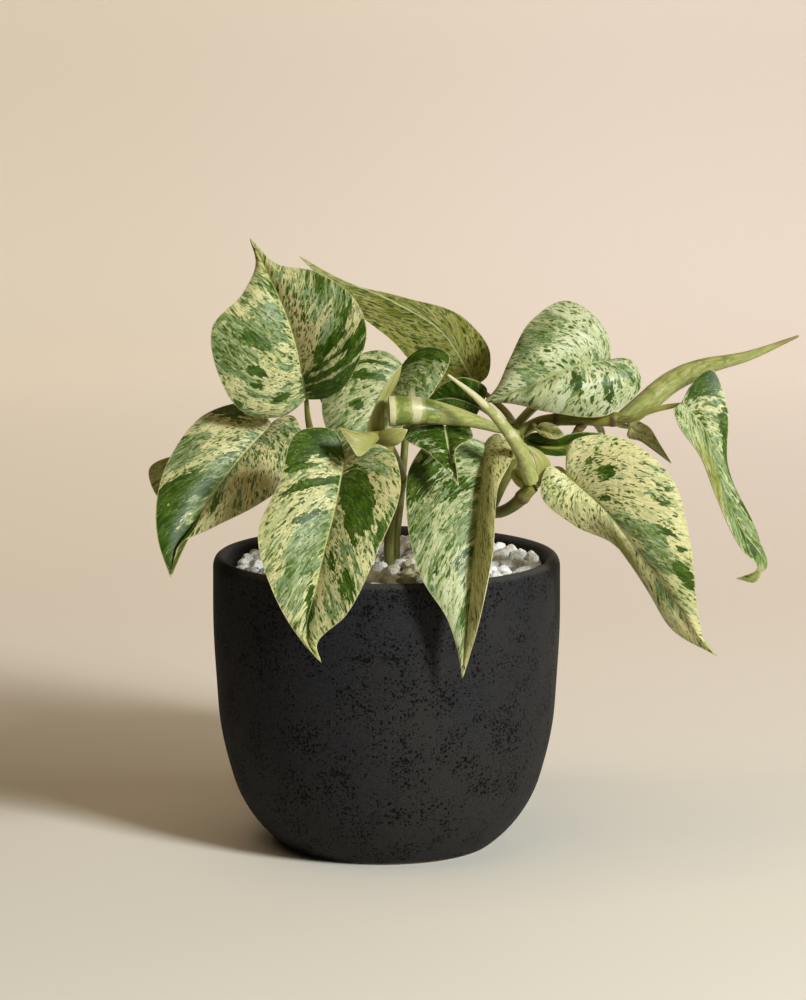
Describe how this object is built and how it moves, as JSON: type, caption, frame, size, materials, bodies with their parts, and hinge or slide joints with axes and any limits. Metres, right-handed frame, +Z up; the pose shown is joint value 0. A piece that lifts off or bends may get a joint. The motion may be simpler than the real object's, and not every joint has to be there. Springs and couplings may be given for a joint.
{
  "type": "potted heartleaf philodendron",
  "caption": "Trailing house plant with marbled heart-shaped leaves, rolled young leaves and sheathed stems, standing in pebbles and soil in a round charcoal ceramic pot.",
  "frame": {"origin": "centre of the pot's flat foot, on the surface it stands on", "axes": "+Z up; -Y towards the viewer of the picture; +X to the viewer's right"},
  "size_m": [0.2792, 0.1985, 0.2632],
  "materials": {
    "charcoal_ceramic": "matte charcoal stoneware with fine darker specks",
    "potting_soil": "dark crumbly potting soil",
    "white_pebbles": "rounded white and cream pebbles",
    "marbled_leaf": "satin leaf marbled in green, grey-green and cream",
    "green_stem": "smooth olive-green stem, darker at its nodes",
    "pale_shoot": "glossy pale green young growth with cream bands"
  },
  "bodies": {
    "root": {"pot": "charcoal_ceramic", "soil": "potting_soil", "gravel": "white_pebbles", "leaf_upper_left": "marbled_leaf", "leaf_top_back": "marbled_leaf", "leaf_left": "marbled_leaf", "leaf_left_back": "marbled_leaf", "leaf_centre_back": "marbled_leaf", "leaf_front_right": "marbled_leaf", "leaf_front_left": "marbled_leaf", "leaf_right_low": "marbled_leaf", "leaf_right_high": "marbled_leaf", "leaf_far_right": "marbled_leaf", "leaf_small_right": "marbled_leaf", "leaf_under_shoot": "marbled_leaf", "leaf_dark_small": "marbled_leaf", "leaf_striped_small": "marbled_leaf", "leaf_pale_small": "marbled_leaf", "leaf_back_left": "marbled_leaf", "leaf_back_middle": "marbled_leaf", "leaf_back_right": "marbled_leaf", "leaf_back_high": "marbled_leaf", "leaf_right_back": "marbled_leaf", "vine_front": "green_stem", "vine_low": "green_stem", "vine_right": "green_stem", "stem_upper_left": "green_stem", "stem_left": "green_stem", "stem_centre_back": "green_stem", "stem_left_back": "green_stem", "stem_back_high": "green_stem", "stem_back_left": "green_stem", "stem_back_middle": "green_stem", "stem_back_right": "green_stem", "shoot_front": "pale_shoot", "rolled_leaf_centre": "pale_shoot", "rolled_leaf_right": "pale_shoot"}
  },
  "joints": []
}
